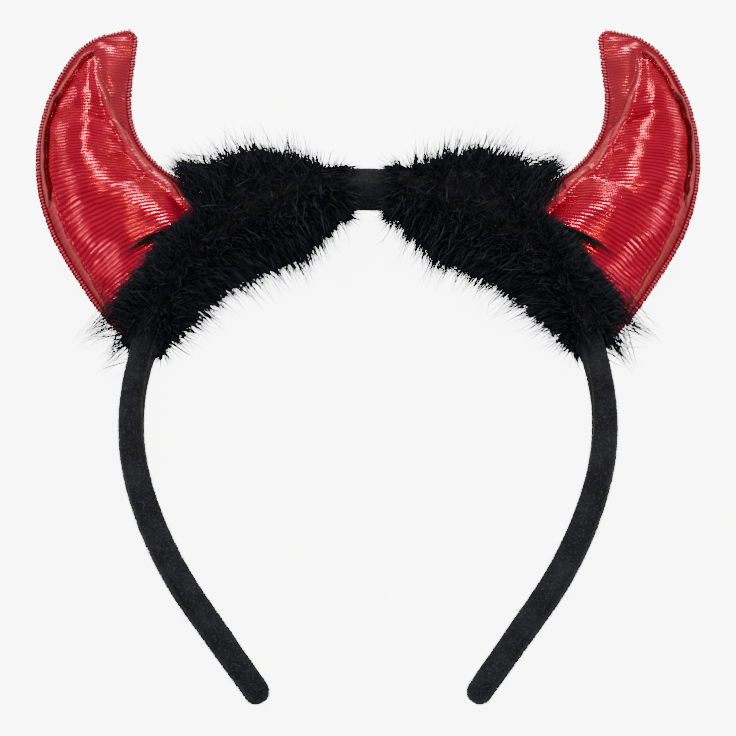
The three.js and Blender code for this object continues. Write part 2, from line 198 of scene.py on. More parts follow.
def metallicClothMaterial():
    # lame, foil pressed on ribbed cloth: deep red, with a broken white glint on each rib that faces a lamp,
    # and duller, pinker cloth along the folds where the foil has rubbed off; that pink is also a painted
    # highlight on the fold crests and on the tucks at the inner seam, and the grooves beside the folds are
    # painted dark brown as painted shade
    # real ribs are about 0.7 mm apart; they are drawn a little coarser, so that each shows in the picture
    cloth = dict(ribMm=0.84, courseMm=0.6, reliefMm=0.05, wanderMm=4.0, speckMm=0.4, wearMm=6.0,
                 strays=0.6, courseShare=0.09, speckShare=0.3)
    material, tree = newTree("red_foil_lame")
    spot = addNode(tree, "ShaderNodeTexCoord")
    wander, speck, wear = (
        addNode(tree, "ShaderNodeTexNoise", {"Scale": 1000 / cloth[size], "Detail": detail},
                {"Vector": (spot, "Object")})
        for size, detail in (("wanderMm", 2.0), ("speckMm", 1.0), ("wearMm", 3.0)))
    waves = []
    for name, pitch in (("grain", cloth["ribMm"]), ("course", cloth["courseMm"])):
        run = addNode(tree, "ShaderNodeAttribute", {"attribute_name": name})
        strayed = addNode(tree, "ShaderNodeMath", {"operation": "MULTIPLY_ADD", 1: cloth["strays"]},
                          {0: (wander, 0), 2: (run, "Fac")})
        turn = addNode(tree, "ShaderNodeMath", {"operation": "MULTIPLY", 1: 2 * math.pi / pitch},
                       {0: (strayed, 0)})
        waves.append(addNode(tree, "ShaderNodeMath", {"operation": "SINE"}, {0: (turn, 0)}))
    knit = addNode(tree, "ShaderNodeMath", {"operation": "MULTIPLY_ADD", 1: cloth["courseShare"]},
                   {0: (waves[1], 0), 2: (waves[0], 0)})
    relief = addNode(tree, "ShaderNodeMath", {"operation": "MULTIPLY_ADD", 1: cloth["speckShare"]},
                     {0: (speck, 0), 2: (knit, 0)})
    # the ribs stand lower where the foil is rubbed, and along the folds and tucks painted with a highlight
    rubbedAndHighlight = addNode(tree, "ShaderNodeAttribute", {"attribute_name": "rubbedAndHighlight"})
    crisp = addNode(tree, "ShaderNodeMapRange", {"From Max": 0.2, "To Min": 1.0, "To Max": 0.4},
                    {"Value": (rubbedAndHighlight, "Fac")})
    bump = addNode(tree, "ShaderNodeBump", {"Distance": cloth["reliefMm"] / 1000},
                   {"Height": (relief, 0), "Strength": (crisp, 0)})
    red = addNode(tree, "ShaderNodeValToRGB", {}, {0: (wear, 0)}, [(0.35, "#b2002b"), (0.65, "#c80036")])
    # the valleys between the ribs are painted darker, as painted shade
    valleyShade = addNode(tree, "ShaderNodeMapRange", {"From Min": 0.2, "From Max": -1.2, "To Max": 0.6},
                     {"Value": (knit, 0)})
    colour = addNode(tree, "ShaderNodeMixRGB", {"Color2": linear("#4c000c")},
                     {"Fac": (valleyShade, 0), "Color1": (red, 0)})
    grooveShadeAndDark = addNode(tree, "ShaderNodeAttribute", {"attribute_name": "grooveShadeAndDark"})
    # pink where the foil is rubbed and as a painted highlight on fold crests and tucks; dark brown as painted
    # shade in the grooves beside the folds, and a darker tone on the flat cloth
    for share, tone in ((rubbedAndHighlight, "#b05a60"), (grooveShadeAndDark, "#1e0504")):
        colour = addNode(tree, "ShaderNodeMixRGB", {"Color2": linear(tone)},
                         {"Fac": (share, "Fac"), "Color1": (colour, 0)})
    metal = addNode(tree, "ShaderNodeMapRange", {"To Min": 0.7, "To Max": 0.1}, {"Value": (rubbedAndHighlight, "Fac")})
    gloss = addNode(tree, "ShaderNodeMapRange", {"To Min": 0.17, "To Max": 0.7}, {"Value": (rubbedAndHighlight, "Fac")})
    shader = addNode(tree, "ShaderNodeBsdfPrincipled", {
        "Specular IOR Level": 0.2, "Specular Tint": linear("#d81c40"),
        "Coat Weight": 0.2, "Coat Roughness": 0.12,
    }, {"Base Color": (colour, 0), "Metallic": (metal, 0), "Roughness": (gloss, 0), "Normal": (bump, 0),
        "Coat Normal": (bump, 0)})
    addNode(tree, "ShaderNodeOutputMaterial", {}, {"Surface": (shader, 0)})
    return material


def threadMaterial():
    # soft polyester looper thread: deep red, painted pink on the top of each loop as a painted highlight
    ply = dict(fuzzMm=0.6, reliefMm=0.05)
    material, tree = newTree("red_overlock_thread")
    spot = addNode(tree, "ShaderNodeTexCoord")
    crestHighlight = addNode(tree, "ShaderNodeAttribute", {"attribute_name": "crestHighlight"})
    fuzz = addNode(tree, "ShaderNodeTexNoise", {"Scale": 1000 / ply["fuzzMm"], "Detail": 2.0},
                   {"Vector": (spot, "Object")})
    deep = addNode(tree, "ShaderNodeValToRGB", {}, {0: (fuzz, 0)}, [(0.3, "#820516"), (0.7, "#aa0e2c")])
    colour = addNode(tree, "ShaderNodeMixRGB", {"Color2": linear("#f4668c")},
                     {"Fac": (crestHighlight, "Fac"), "Color1": (deep, 0)})
    bump = addNode(tree, "ShaderNodeBump", {"Distance": ply["reliefMm"] / 1000}, {"Height": (fuzz, 0)})
    shader = addNode(tree, "ShaderNodeBsdfPrincipled", {"Roughness": 0.45, "Specular IOR Level": 0.3},
                     {"Base Color": (colour, 0), "Normal": (bump, 0)})
    addNode(tree, "ShaderNodeOutputMaterial", {}, {"Surface": (shader, 0)})
    return material


def downMaterial():
    # dyed marabou down: black at the quill, and lighter and a little blue towards the ends, which is painted
    # light standing in for light passing through the thin barbs
    material, tree = newTree("black_dyed_marabou_down")
    tip = addNode(tree, "ShaderNodeAttribute", {"attribute_name": "tip"})
    colour = addNode(tree, "ShaderNodeValToRGB", {}, {0: (tip, "Fac")}, [(0.1, "#0c0f15"), (0.6, "#323b4a")])
    shader = addNode(tree, "ShaderNodeBsdfPrincipled", {
        "Roughness": 0.6, "Specular IOR Level": 0.1,
        "Sheen Weight": 0.12, "Sheen Roughness": 0.5, "Sheen Tint": linear("#8c98ab"),
    }, {"Base Color": (colour, 0)})
    addNode(tree, "ShaderNodeOutputMaterial", {}, {"Surface": (shader, 0)})
    return material


velvet = velvetMaterial()
metallicCloth = metallicClothMaterial()
thread = threadMaterial()
down = downMaterial()
print("materials made")

# band: stiff core, padding and velvet, from tip to tip

band = dict(insideWidth=114.8, thickness=5.5, topWidth=16.5, tipStraight=29.6, corner=1.9, mostRounded=0.9,
            crown=0.35, seamRise=0.3, seamWide=0.8, uneven=0.07, humps=5.0, rings=210, tipRings=12)
bandArcs = (
    dict(radius=0.978, turn=57.9),
    dict(radius=1.122, turn=31),
    dict(radius=1.091, turn=16.9),
    dict(radius=1.736, turn=19.3),
)
bandSections = (
    dict(along=0, width=1, thickness=1.16),
    dict(along=0.2, width=0.96, thickness=1.12),
    dict(along=0.45, width=0.76, thickness=1),
    dict(along=0.6, width=0.64, thickness=1.14),
    dict(along=0.8, width=0.52, thickness=1.19),
    dict(along=1, width=0.44, thickness=1.07),
)


def bandLine(scale, straight):
    # distance, heading, x and y along the middle line of the left half, from the top centre
    turns = np.radians([arc["turn"] for arc in bandArcs])
    lengths = np.append(scale * np.array([arc["radius"] for arc in bandArcs]) * turns, straight)
    marks = np.append(0, np.cumsum(lengths))
    headings = np.append(np.append(0, np.cumsum(turns)), turns.sum())
    distance = np.linspace(0, marks[-1], 6000)
    heading = np.interp(distance, marks, headings)
    middle = (heading[1:] + heading[:-1]) / 2
    x, y = (-np.append(0, np.cumsum(way(middle)) * distance[1]) for way in (np.cos, np.sin))
    return distance, heading, x, y


# the arcs are scaled so that the arms' inner faces come to lie insideWidth apart
arcScale = (band["insideWidth"] + band["thickness"]) / 2 / -bandLine(1.0, 0.1)[2].min()
line = bandLine(arcScale, band["tipStraight"])
halfLength = line[0][-1]


def besideBand(distance, outward, front):
    heading = np.interp(distance, line[0], line[1])
    x = np.interp(distance, line[0], line[2]) - outward * np.sin(heading)
    y = np.interp(distance, line[0], line[3]) + outward * np.cos(heading)
    return np.stack([x, y, front + 0 * x], -1)


def besideBoth(signedDistance, outward, front):
    # the same on both halves; distances on the right half are negative
    points = besideBand(np.abs(signedDistance), outward, front)
    points[..., 0] *= np.where(signedDistance < 0, -1, 1)
    return points


def bandHalves(distance):
    share = np.asarray(distance) / halfLength
    thick = band["thickness"] / 2 * readTable(bandSections, "along", share, "thickness")
    wide = band["topWidth"] / 2 * readTable(bandSections, "along", share, "width")
    return thick, wide


def bandSection():
    # round the band: corner signs out and front, and the way the surface faces
    corners = ((1, 1, 0, 5), (-1, 1, 90, 16), (-1, -1, 180, 5), (1, -1, 270, 16))
    rows = []
    for outSign, frontSign, start, straight in corners:
        for angle in np.radians(start + np.linspace(0, 90, 7)):
            rows.append((outSign, frontSign, math.cos(angle), math.sin(angle)))
        nextOut, nextFront = (-outSign, frontSign) if outSign * frontSign > 0 else (outSign, -frontSign)
        facing = rows[-1][2:]
        for t in np.linspace(0, 1, straight + 2)[1:-1]:
            rows.append((outSign + (nextOut - outSign) * t, frontSign + (nextFront - frontSign) * t, *facing))
    return np.array(rows)


section = bandSection()


def bandSurface(signedDistance, around, shrink=1.0):
    # points of the band's skin at matching distances and section rows
    thick, wide = bandHalves(np.abs(signedDistance))
    thick, wide = thick * shrink, wide * shrink
    corner = np.minimum(band["corner"] * shrink, band["mostRounded"] * thick)
    outSign, frontSign, outWay, frontWay = around[..., 0], around[..., 1], around[..., 2], around[..., 3]
    outward = outSign * (thick - corner) + corner * outWay
    front = frontSign * (wide - corner) + corner * frontWay
    outward = outward + shrink * band["crown"] * np.clip(outWay, 0, 1) * (1 - frontSign ** 2)
    seam = np.exp(-(front / band["seamWide"]) ** 2) * np.clip(-outWay, 0, 1)
    return besideBoth(signedDistance, outward + shrink * band["seamRise"] * seam, front)


def makeBand():
    tipRound = bandHalves(halfLength)[0]
    turns = np.radians(np.linspace(6, 88, band["tipRings"]))
    straight = np.linspace(0, halfLength - tipRound, band["rings"])
    distances = np.append(straight, halfLength - tipRound * (1 - np.sin(turns)))
    shrinks = np.append(np.ones(band["rings"]), np.cos(turns))
    signed = np.concatenate([-distances[:0:-1], distances])
    shrink = np.concatenate([shrinks[:0:-1], shrinks])
    rings, size = len(signed), len(section)
    points = bandSurface(signed[:, None], section[None], shrink[:, None]).reshape(-1, 3)
    middles = np.repeat(points.reshape(rings, size, 3).mean(1), size, 0)
    points += band["uneven"] * lumps(points, band["humps"], 3)[:, None] * unit(points - middles)
    points, faces = closedSkin(points, rings, size)
    piece = makeMesh("band_velvet", aboveFloor(toRow(points), 0), faces, velvet)
    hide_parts("headband")


nap = dict(strands=80000, furFrom=14, furTo=72, underFur=0.05, tipRound=2.9, lean=0.45, loose=0.35,
           shortest=0.22, longest=0.5, halfWidth=0.05, rootDepth=0.05)


def makeNap():
    # the pile stands up a little all over, which softens the outline; little of it is needed under the down
    random = np.random.default_rng(11)
    signed = random.uniform(-halfLength, halfLength, nap["strands"])
    underFur = (np.abs(signed) > nap["furFrom"]) & (np.abs(signed) < nap["furTo"])
    signed = signed[~underFur | (random.random(nap["strands"]) < nap["underFur"])]
    count = len(signed)
    rows = random.uniform(0, len(section), count)
    first = rows.astype(int) % len(section)
    mix = (rows % 1)[:, None]
    around = section[first] * (1 - mix) + section[(first + 1) % len(section)] * mix
    nearTip = halfLength - np.abs(signed)
    shrink = np.sqrt(1 - np.clip(1 - nearTip / nap["tipRound"], 0, 0.98) ** 2)
    root = bandSurface(signed, around, shrink)
    ahead = bandSurface(np.clip(np.abs(signed) + 0.5, 0, halfLength) * np.sign(signed), around, shrink) - root
    ways = unit(besideBoth(signed, around[:, 2], around[:, 3]) - besideBoth(signed, 0 * signed, 0 * signed))
    lean = unit(ways + nap["lean"] * unit(ahead) + random.normal(0, nap["loose"], (count, 3)))
    length = random.uniform(nap["shortest"], nap["longest"], count)[:, None]
    across = unit(np.cross(lean, random.normal(size=(count, 3)))) * nap["halfWidth"]
    sunk = nap["rootDepth"] * ways
    points = np.stack([root - across - sunk, root + across - sunk, root + lean * length], 1).reshape(-1, 3)
    faces = [np.arange(3 * count).reshape(-1, 3)]
    makeMesh("band_nap", aboveFloor(toRow(points), 0), faces, velvet)


makeBand()
makeNap()
print("band and nap made")

# horns: two panels of cloth, stuffed, with a flat margin, a flat tip and gathers at the seam

horn = dict(seat=51.5, reach=40.7, height=66.2, puff=6.9, margin=1.3, gather=1.2, clearance=0.3,
            rows=220, columns=72, crowded=0.75)
# finer forms and wear of the cloth: sizes in millimetres, and shares of full wear and of darkening
hornCloth = dict(groove=0.45, pinch=0.15, creases=(1.05, 1.7), fan=0.16, bend=0.8, bendSize=14.0, dents=0.35,
                 dentSize=17.0, uneven=0.05, unevenSize=3.5, dull=0.24, deep=0.25, ribLift=0.42, ribFan=0.72)
hornCuts = (
    dict(along=0, outerOut=0.322, outerUp=-0.318, innerOut=-0.3, innerUp=0.097),
    dict(along=0.1, outerOut=0.506, outerUp=-0.234, innerOut=-0.115, innerUp=0.193),
    dict(along=0.27, outerOut=0.717, outerUp=-0.053, innerOut=0.086, innerUp=0.328),
    dict(along=0.4, outerOut=0.882, outerUp=0.126, innerOut=0.246, innerUp=0.406),
    dict(along=0.52, outerOut=0.978, outerUp=0.31, innerOut=0.359, innerUp=0.488),
    dict(along=0.62, outerOut=1, outerUp=0.488, innerOut=0.43, innerUp=0.584),
    dict(along=0.72, outerOut=0.966, outerUp=0.65, innerOut=0.457, innerUp=0.699),
    dict(along=0.8, outerOut=0.897, outerUp=0.774, innerOut=0.447, innerUp=0.809),
    dict(along=0.88, outerOut=0.789, outerUp=0.894, innerOut=0.437, innerUp=0.885),
    dict(along=0.94, outerOut=0.656, outerUp=0.965, innerOut=0.43, innerUp=0.936),
    dict(along=0.98, outerOut=0.514, outerUp=0.992, innerOut=0.425, innerUp=0.971),
    dict(along=1, outerOut=0.457, outerUp=1, innerOut=0.43, innerUp=0.988),
)
hornRises = (
    dict(along=0, puff=0.86, gather=0.4, stuffed=1),
    dict(along=0.1, puff=0.93, gather=0.8, stuffed=1),
    dict(along=0.27, puff=1, gather=1, stuffed=1),
    dict(along=0.4, puff=0.98, gather=1, stuffed=1),
    dict(along=0.52, puff=0.92, gather=1, stuffed=1),
    dict(along=0.6, puff=0.84, gather=1, stuffed=0.97),
    dict(along=0.66, puff=0.76, gather=0.9, stuffed=0.89),
    dict(along=0.74, puff=0.6, gather=0.8, stuffed=0.76),
    dict(along=0.8, puff=0.42, gather=0.6, stuffed=0.6),
    dict(along=0.86, puff=0.22, gather=0.3, stuffed=0.48),
    dict(along=0.9, puff=0.08, gather=0, stuffed=0.4),
    dict(along=0.94, puff=0, gather=0, stuffed=0.4),
    dict(along=1, puff=0, gather=0, stuffed=0.4),
)
# the cloth's folds inside the outer seam: how far in each lies at its foot and its top, and half its width;
# also how pink its crest is painted, as rubbed foil and as a painted highlight, and how dark the groove beside
# it is painted, as painted shade
hornFolds = (
    dict(low=0.745, high=0.9, lowIn=2.2, highIn=2.4, half=0.7, rise=1.1, rubbedAndHighlight=0.9, dark=0.7),
    dict(low=0.465, high=0.765, lowIn=1.2, highIn=0.9, half=0.9, rise=1.4, rubbedAndHighlight=0.9, dark=1),
    dict(low=0.12, high=0.5, lowIn=0.8, highIn=3.1, half=0.6, rise=0.9, rubbedAndHighlight=0.5, dark=0.3),
)
hornProfile = (
    dict(across=0, puff=0, gather=0),
    dict(across=0.03, puff=0.02, gather=0),
    dict(across=0.06, puff=0.08, gather=0),
    dict(across=0.1, puff=0.19, gather=0),
    dict(across=0.15, puff=0.35, gather=0),
    dict(across=0.23, puff=0.58, gather=0),
    dict(across=0.34, puff=0.8, gather=0),
    dict(across=0.47, puff=0.96, gather=0),
    dict(across=0.6, puff=1, gather=0),
    dict(across=0.72, puff=0.86, gather=0),
    dict(across=0.81, puff=0.62, gather=-0.1),
    dict(across=0.86, puff=0.46, gather=-0.1),
    dict(across=0.9, puff=0.3, gather=0.75),
    dict(across=0.93, puff=0.18, gather=1),
    dict(across=0.96, puff=0.07, gather=0.6),
    dict(across=0.98, puff=0.02, gather=0.15),
    dict(across=1, puff=0, gather=0),
)


def hornEdges(along):
    seat = besideBand(horn["seat"], 0.0, 0.0)
    read = lambda column: readTable(hornCuts, "along", along, column)
    edge = lambda out, up: np.stack([seat[0] - read(out) * horn["reach"],
                                     seat[1] + read(up) * horn["height"]], -1)
    return edge("outerOut", "outerUp"), edge("innerOut", "innerUp")


def pastBand(points):
    # nearest place along the band's middle line, the way out from the head there, and how far out each is
    samples = np.arange(0, 120, 0.5)
    spine = besideBand(samples, 0.0 * samples, 0.0 * samples)[:, :2]
    nearest = np.concatenate([((part[:, None, :2] - spine[None]) ** 2).sum(-1).argmin(1)
                              for part in np.array_split(points, max(len(points) // 20000, 1))])
    heading = np.interp(samples[nearest], line[0], line[1])
    out = np.stack([-np.sin(heading), np.cos(heading)], -1)
    return samples[nearest], out, ((points[:, :2] - spine[nearest]) * out).sum(-1)


def offHead(points):
    # moves what is on the head's side of the band's outer face out onto that face
    distance, out, reach = pastBand(points)
    least = bandHalves(distance)[0] + horn["clearance"]
    points[:, :2] += out * np.maximum(least - reach, 0)[:, None]
    return points


def hornSheet(rows, columns):
    # one panel as a grid: places in the band's plane, shares along and across, widths and how far it puffs out
    along = np.linspace(0, 1, rows)[:, None]
    t = np.linspace(0, 1, columns)
    across = (t - horn["crowded"] * np.sin(2 * np.pi * t) / (2 * np.pi))[None]  # more columns by the seams
    outer, inner = hornEdges(along[:, 0])
    width = np.linalg.norm(inner - outer, axis=1)[:, None]
    spot = outer[:, None] + (inner - outer)[:, None] * across[..., None]
    rises = {key: readTable(hornRises, "along", along, key) for key in ("puff", "gather", "stuffed")}
    inStuffing = np.clip(across / rises["stuffed"], 0, 1)
    puffed = horn["puff"] * rises["puff"] * readTable(hornProfile, "across", inStuffing, "puff")
    gathered = rises["gather"] * readTable(hornProfile, "across", inStuffing, "gather")
    return dict(along=along, across=across, inner=inner, width=width, spot=spot,
                stuffed=rises["stuffed"], puffed=puffed, gathered=gathered)


stuffing = dict(rows=100, columns=30, scale=10, start=0.88, frames=20, cap=2.0, pressure=5.0, extraCloth=0.04,
                mass=0.15, tension=20, shear=8, bending=0.4, quality=5)


def stuffHorn():
    # the two panels, a little oversized and held along their seam, are blown up as loose stuffing does;
    # it gives how far each point of the front and the back moved, in millimetres
    rows, columns, scale = stuffing["rows"], stuffing["columns"], stuffing["scale"]
    sheet = hornSheet(rows, columns)
    height = horn["margin"] / 2 + stuffing["start"] * sheet["puffed"]
    before = np.stack([np.dstack([sheet["spot"], height]), np.dstack([sheet["spot"], -height])])
    ring = np.concatenate([before[0], before[1][:, ::-1]], 1).reshape(-1, 3)
    mesh = bpy.data.meshes.new("stuffing")
    quads = gridFaces(rows, 2 * columns)
    firstRing = np.arange(2 * columns)
    ends = [firstRing[::-1].tolist(), (firstRing + (rows - 1) * 2 * columns).tolist()]
    mesh.from_pydata((ring / 1000 * scale).tolist(), [], quads.tolist() + ends)
    bag = bpy.data.objects.new("stuffing", mesh)
    bpy.context.scene.collection.objects.link(bag)
    held = np.zeros((rows, 2 * columns), bool)
    held[[0, 1, -1]] = True
    held[:, [0, columns - 1, columns, -1]] = True
    bag.vertex_groups.new(name="seam").add(np.flatnonzero(held.ravel()).tolist(), 1.0, "REPLACE")
    cloth = bag.modifiers.new("cloth", "CLOTH")
    settings = cloth.settings
    settings.quality = stuffing["quality"]
    settings.mass = stuffing["mass"]
    settings.tension_stiffness = settings.compression_stiffness = stuffing["tension"]
    settings.shear_stiffness = stuffing["shear"]
    settings.bending_stiffness = stuffing["bending"]
    settings.vertex_group_mass = "seam"
    settings.use_pressure = True
    settings.uniform_pressure_force = stuffing["pressure"]
    settings.shrink_min = settings.shrink_max = -stuffing["extraCloth"]
    settings.effector_weights.gravity = 0
    cloth.collision_settings.use_collision = False
    cloth.point_cache.frame_start, cloth.point_cache.frame_end = 1, stuffing["frames"]
    for step in range(1, stuffing["frames"] + 1):
        bpy.context.scene.frame_set(step)
    after = np.empty(len(ring) * 3, np.float32)
    bag.evaluated_get(bpy.context.evaluated_depsgraph_get()).data.vertices.foreach_get("co", after)
    bpy.data.objects.remove(bag)
    bpy.context.scene.frame_set(1)
    after = after.reshape(rows, 2 * columns, 3) * 1000 / scale
    moved = np.stack([after[:, :columns], after[:, columns:][:, ::-1]]) - before
    moved[..., 2] -= np.array([1, -1])[:, None, None] * (1 - stuffing["start"]) * sheet["puffed"]
    far = np.linalg.norm(moved, axis=-1, keepdims=True)
    print("stuffed, moved by up to %.1f mm" % far.max())
    return moved * np.minimum(1, stuffing["cap"] / np.maximum(far, 1e-6))


def smoothed(grid, times):
    grid = grid.copy()
    for _ in range(times):
        beside = grid[1:-1, 1:-1] + grid[:-2, 1:-1] + grid[2:, 1:-1] + grid[1:-1, :-2] + grid[1:-1, 2:]
        grid[1:-1, 1:-1] = beside / 5
    return grid


def refine(moved, sheet, rows, columns):
    # the movement of a coarse grid on a finer one: crinkled by the inner seam and smooth elsewhere
    for axis, count in ((1, columns), (0, rows)):
        coarse, fine = np.linspace(0, 1, moved.shape[axis]), np.linspace(0, 1, count)
        moved = np.apply_along_axis(lambda values: np.interp(fine, coarse, values), axis, moved)
    crinkled, plain = smoothed(moved, 3), smoothed(moved, 40)
    share = 0.12 + 0.88 * np.exp(-(((sheet["stuffed"] - sheet["across"]) * sheet["width"] - 3) / 4.5) ** 2)
    return plain + share[..., None] * (crinkled - plain)


def foldCloth(sheet, flat, unstuffed, seed):
    # the folds inside the outer seam: how far the cloth rises, how deep its groove is, which is also painted
    # dark as painted shade, and how rubbed its foil is, which on the fold crests is also a painted highlight
    rise, groove, rubbedAndHighlight = 0 * sheet["puffed"], 0 * sheet["puffed"], hornCloth["dull"] * unstuffed
    for fold in hornFolds:
        share = (sheet["along"] - fold["low"]) / (fold["high"] - fold["low"])
        shown = smoothStep(0, 0.05, share) * smoothStep(1, 0.96, share)
        inwards = fold["lowIn"] + (fold["highIn"] - fold["lowIn"]) * share
        beyond = sheet["across"] * sheet["width"] - inwards - 0.15 * lumps(flat, 6.0, seed)
        beyond = beyond / fold["half"] * (1 + 0.12 * lumps(flat, 5.0, seed + 3))
        rise = rise + fold["rise"] * shown * np.exp(-np.abs(beyond) ** np.where(beyond > 0, 2.6, 1.5))
        rubbedAndHighlight = rubbedAndHighlight + fold["rubbedAndHighlight"] * shown * np.exp(-((beyond + 0.25) / 0.9) ** 2)
        groove = groove + fold["dark"] * shown * np.exp(-((beyond - 1.5) / 0.7) ** 2)
    return rise, groove, rubbedAndHighlight


def makeHorn(side, seed, moved):
    rows, columns = horn["rows"], horn["columns"]
    sheet = hornSheet(rows, columns)
    spot, puffed, gathered = sheet["spot"], sheet["puffed"], sheet["gathered"]
    flat = np.dstack([spot, np.zeros(spot.shape[:2])])
    innerRun = np.cumsum(np.append(0, np.linalg.norm(np.diff(sheet["inner"], axis=0), axis=1)))[:, None]
    unstuffed = smoothStep(1.6, 0.2, puffed)  # such cloth is drawn duller and darker
    folded, groove, rubbedAndHighlight = foldCloth(sheet, flat, unstuffed, seed)
    shortCrease, longCrease = hornCloth["creases"]
    panels, tuckHighlights = [], []
    for face in (1, -1):
        # creases fan out nearly along the inner seam
        bend = hornCloth["bend"] * lumps(flat, hornCloth["bendSize"], seed + 5 * face)
        fan = hornCloth["fan"] * innerRun + (sheet["stuffed"] - sheet["across"]) * sheet["width"] + 0.5 * bend
        pinch = 0.7 * np.sin(2 * np.pi * fan / shortCrease)
        pinch += 0.7 * np.sin(2 * np.pi * (fan + 0.06 * innerRun) / longCrease + seed)
        dents = hornCloth["dents"] * lumps(flat, hornCloth["dentSize"], seed + 9 * face)
        dents = dents * np.minimum(puffed / 3, 1)
        uneven = hornCloth["uneven"] * lumps(flat, hornCloth["unevenSize"], seed + 2 * face) * (puffed > 0.2)
        height = horn["margin"] / 2 + puffed + folded - hornCloth["groove"] * groove
        height = height + horn["gather"] * gathered + hornCloth["pinch"] * gathered * pinch + dents + uneven
        stuffed = refine(moved[(1 - face) // 2], sheet, rows, columns)
        panels.append(np.dstack([spot, face * height]) + stuffed)
        # the tucks along the inner seam are painted pink as a painted highlight
        tuckHighlights.append(np.clip(gathered * (0.5 + 0.5 * pinch), 0, 1))
    front, back = panels
    points = offHead(np.concatenate([front, back[:, ::-1]], 1).reshape(-1, 3))
    x, y = (points[:, :2] - besideBand(horn["seat"], 0.0, 0.0)[:2]).T
    # ribs lie level halfway up and rise towards the head at the foot
    lift = hornCloth["ribLift"] * smoothStep(34, -6, y)
    bothFaces = lambda one, other: np.concatenate([one, other[:, ::-1]], 1).ravel()
    # the pink mark holds worn foil and painted highlights; the dark mark holds painted shade in the fold
    # grooves and a darker tone on the flat cloth
    marks = dict(grain=y - lift * (x + hornCloth["ribFan"] * y), course=x + lift * y,
                 rubbedAndHighlight=bothFaces(*(np.clip(0.85 * rubbedAndHighlight + 0.8 * tuckHighlight, 0, 0.9) for tuckHighlight in tuckHighlights)),
                 grooveShadeAndDark=bothFaces(*[np.clip(0.8 * groove + hornCloth["deep"] * unstuffed, 0, 0.85)] * 2))
    attributes = {key: np.append(values, [0, 0]) for key, values in marks.items()}
    points, faces = closedSkin(points, rows, 2 * columns, side > 0)
    piece = makeMesh("horn_cloth_" + sideName(side), toRow(toSide(points, side)), faces, metallicCloth,
                     attributes)
    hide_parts("horn_" + sideName(side))
    return front


# overlocked edge: looper thread wound round the two cut edges, from the foot over the tip and back

overlock = dict(width=1.4, thickness=1.5, inside=0.15, pitch=0.86, thread=0.2, turnPoints=12, sides=5,
                stray=0.12, uneven=0.06, bedOut=0.12, bedUp=0.18, bedSides=8, clearance=0.2)


def tube(points, normals, radius, sides):
    # a thin tube along points, with a normal given at each
    ahead = unit(np.gradient(points, axis=0))
    normals = unit(normals - ahead * (normals * ahead).sum(-1, keepdims=True))
    beside = np.cross(ahead, normals)
    angles = 2 * np.pi * np.arange(sides) / sides
    ring = np.cos(angles)[None, :, None] * normals[:, None] + np.sin(angles)[None, :, None] * beside[:, None]
    return (points[:, None] + radius * ring).reshape(-1, 3), gridFaces(len(points), sides)


def hornOutline():
    outer, inner = hornEdges(np.linspace(0, 1, 400))
    path = np.vstack([outer, inner[::-1]])
    keep = np.append(True, np.linalg.norm(np.diff(path, axis=0), axis=1) > 1e-3)
    path = path[keep]
    run = np.append(0, np.cumsum(np.linalg.norm(np.diff(path, axis=0), axis=1)))
    way = unit(np.gradient(path, axis=0))
    out = np.stack([-way[:, 1], way[:, 0]], -1)
    return run, path, out


def makeOverlock(side, seed):
    random = np.random.default_rng(seed)
    run, path, out = hornOutline()
    turns = int(run[-1] / overlock["pitch"])
    t = np.arange(int(run[-1] / overlock["pitch"] * overlock["turnPoints"])) / overlock["turnPoints"]
    byTurn = lambda: np.interp(t, np.arange(turns + 2), random.normal(size=turns + 2))
    spot = t * overlock["pitch"] + overlock["stray"] * byTurn()
    read = lambda values: np.stack([np.interp(spot, run, values[:, k]) for k in (0, 1)], -1)
    centre, outNow = read(path), unit(read(out))
    angle = 2 * np.pi * t
    squared = lambda v: np.sign(v) * np.abs(v) ** 0.75
    reach = overlock["width"] / 2 + overlock["uneven"] * byTurn()
    middle = overlock["width"] / 2 - overlock["inside"]
    sideways = middle + reach * squared(np.cos(angle))
    height = (overlock["thickness"] / 2) * squared(np.sin(angle))
    coil = np.column_stack([centre + outNow * sideways[:, None], height])
    normals = np.column_stack([outNow * np.cos(angle)[:, None], np.sin(angle)])
    loops, loopFaces = tube(coil, normals, overlock["thread"], overlock["sides"])
    # a plain bed under the loops fills the gaps between them
    bedAngles = 2 * np.pi * np.arange(overlock["bedSides"]) / overlock["bedSides"]
    bedOut = out[:, None] * (overlock["width"] / 2 - overlock["bedOut"]) * np.cos(bedAngles)[None, :, None]
    bedUp = (overlock["thickness"] / 2 - overlock["bedUp"]) * np.sin(bedAngles)
    bedUp = np.broadcast_to(bedUp, (len(path), overlock["bedSides"]))
    bed = np.dstack([(path + out * middle)[:, None] + bedOut, bedUp]).reshape(-1, 3)
    points = np.vstack([loops, bed])
    faces = [loopFaces, gridFaces(len(path), overlock["bedSides"]) + len(loops)]
    # nothing is left on the head's side of the band's outer face
    distance, _, past = pastBand(points)
    gone = past < bandHalves(distance)[0] + overlock["clearance"]
    faces = [quads[~gone[quads].any(1)] for quads in faces]
    # the top of each loop is painted pink as a painted highlight
    crestHighlight = np.zeros(len(points))
    crestHighlight[:len(loops)] = np.repeat(smoothStep(0.86, 1.0, np.abs(np.sin(angle))), overlock["sides"])
    faces = [quads[:, ::-1] if side > 0 else quads for quads in faces]
    points = toRow(toSide(points, side))
    piece = makeMesh("overlock_thread_" + sideName(side), points, faces, thread, dict(crestHighlight=crestHighlight))
    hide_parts("overlock_" + sideName(side))


moved = stuffHorn()
hornFronts = [makeHorn(-1, 21, moved), makeHorn(1, 57, moved)]
makeOverlock(-1, 31)
makeOverlock(1, 32)
print("horns and overlocked edges made")

# marabou: down on a quill cord, wound round the band and the foot of each horn

